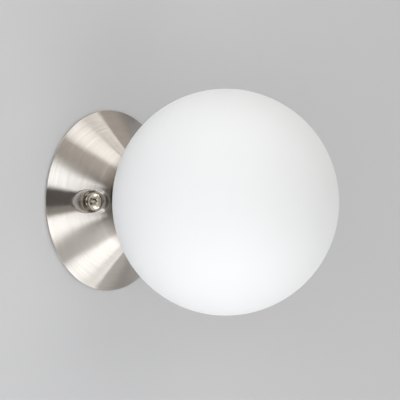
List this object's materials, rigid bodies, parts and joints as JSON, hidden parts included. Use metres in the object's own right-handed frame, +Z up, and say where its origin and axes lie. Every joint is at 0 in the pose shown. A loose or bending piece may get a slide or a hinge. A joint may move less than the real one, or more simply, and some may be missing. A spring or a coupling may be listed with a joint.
{
  "type": "globe wall sconce",
  "caption": "Wall light with a trumpet-shaped brushed metal canopy, held by side screws, and a matte white glass globe on a threaded neck.",
  "frame": {"origin": "centre of the canopy's rim, on the wall plane, midway between the box screw slots", "axes": "+Z up; +Y into the wall along the canopy's axis; +X to the right of a viewer who faces the wall"},
  "size_m": [0.1524, 0.1882, 0.1524],
  "materials": {
    "brushed_nickel": "satin, spun lines round the axis",
    "polished_nickel": "polished",
    "opal_glass": "matte, acid etched",
    "clear_glass": "clear",
    "zinc_steel": "zinc plated",
    "green_steel": "green dyed plating",
    "silicone": "matte translucent",
    "bushing_plastic": "moulded",
    "porcelain": "glazed",
    "brass": "plain",
    "shell_nickel": "nickel plated brass",
    "base_glass": "dark vitrified glass",
    "solder": "dull",
    "support_wire": "drawn",
    "phosphor": "matte yellow silicone"
  },
  "bodies": {
    "fixture": {"mounting_bracket": "zinc_steel", "ground_screw": "green_steel", "canopy": "brushed_nickel", "fitter_cup": "brushed_nickel", "nipple": "zinc_steel", "lock_washer": "zinc_steel", "nipple_nut": "zinc_steel", "nipple_bushing": "bushing_plastic", "socket_strap": "zinc_steel", "strap_screws": "zinc_steel", "socket_body": "porcelain", "socket_screw_shell": "shell_nickel", "socket_centre_contact": "brass", "contact_rivets": "brass", "terminal_plates": "brass", "terminal_screws": "brass"},
    "left_screw": {"canopy_screw_left": "polished_nickel"},
    "right_screw": {"canopy_screw_right": "polished_nickel"},
    "gasket": {"neck_gasket": "silicone"},
    "glass_globe": {"globe": "opal_glass"},
    "bulb": {"bulb_tip": "solder", "bulb_base_insulator": "base_glass", "bulb_base_shell": "shell_nickel", "bulb_glass": "clear_glass", "bulb_stem": "clear_glass", "bulb_supports": "support_wire", "bulb_filaments": "phosphor"}
  },
  "joints": [
    {"name": "globe_withdraw", "type": "slide", "parent": "fixture", "child": "gasket", "axis": [0, -1, 0], "range_m": [0, 0.125]},
    {"name": "globe_unscrew", "type": "hinge", "parent": "gasket", "child": "glass_globe", "pos_m": [0, -0.0362, 0], "axis": [0, -1, 0], "range_deg": [0, 720]},
    {"name": "bulb_withdraw", "type": "slide", "parent": "fixture", "child": "bulb", "axis": [0, -1, 0], "range_m": [0, 0.04]},
    {"name": "left_screw_out", "type": "slide", "parent": "fixture", "child": "left_screw", "axis": [-0.9511, -0.309, 0], "range_m": [0, 0.016]},
    {"name": "right_screw_out", "type": "slide", "parent": "fixture", "child": "right_screw", "axis": [0.9511, -0.309, 0], "range_m": [0, 0.016]}
  ]
}
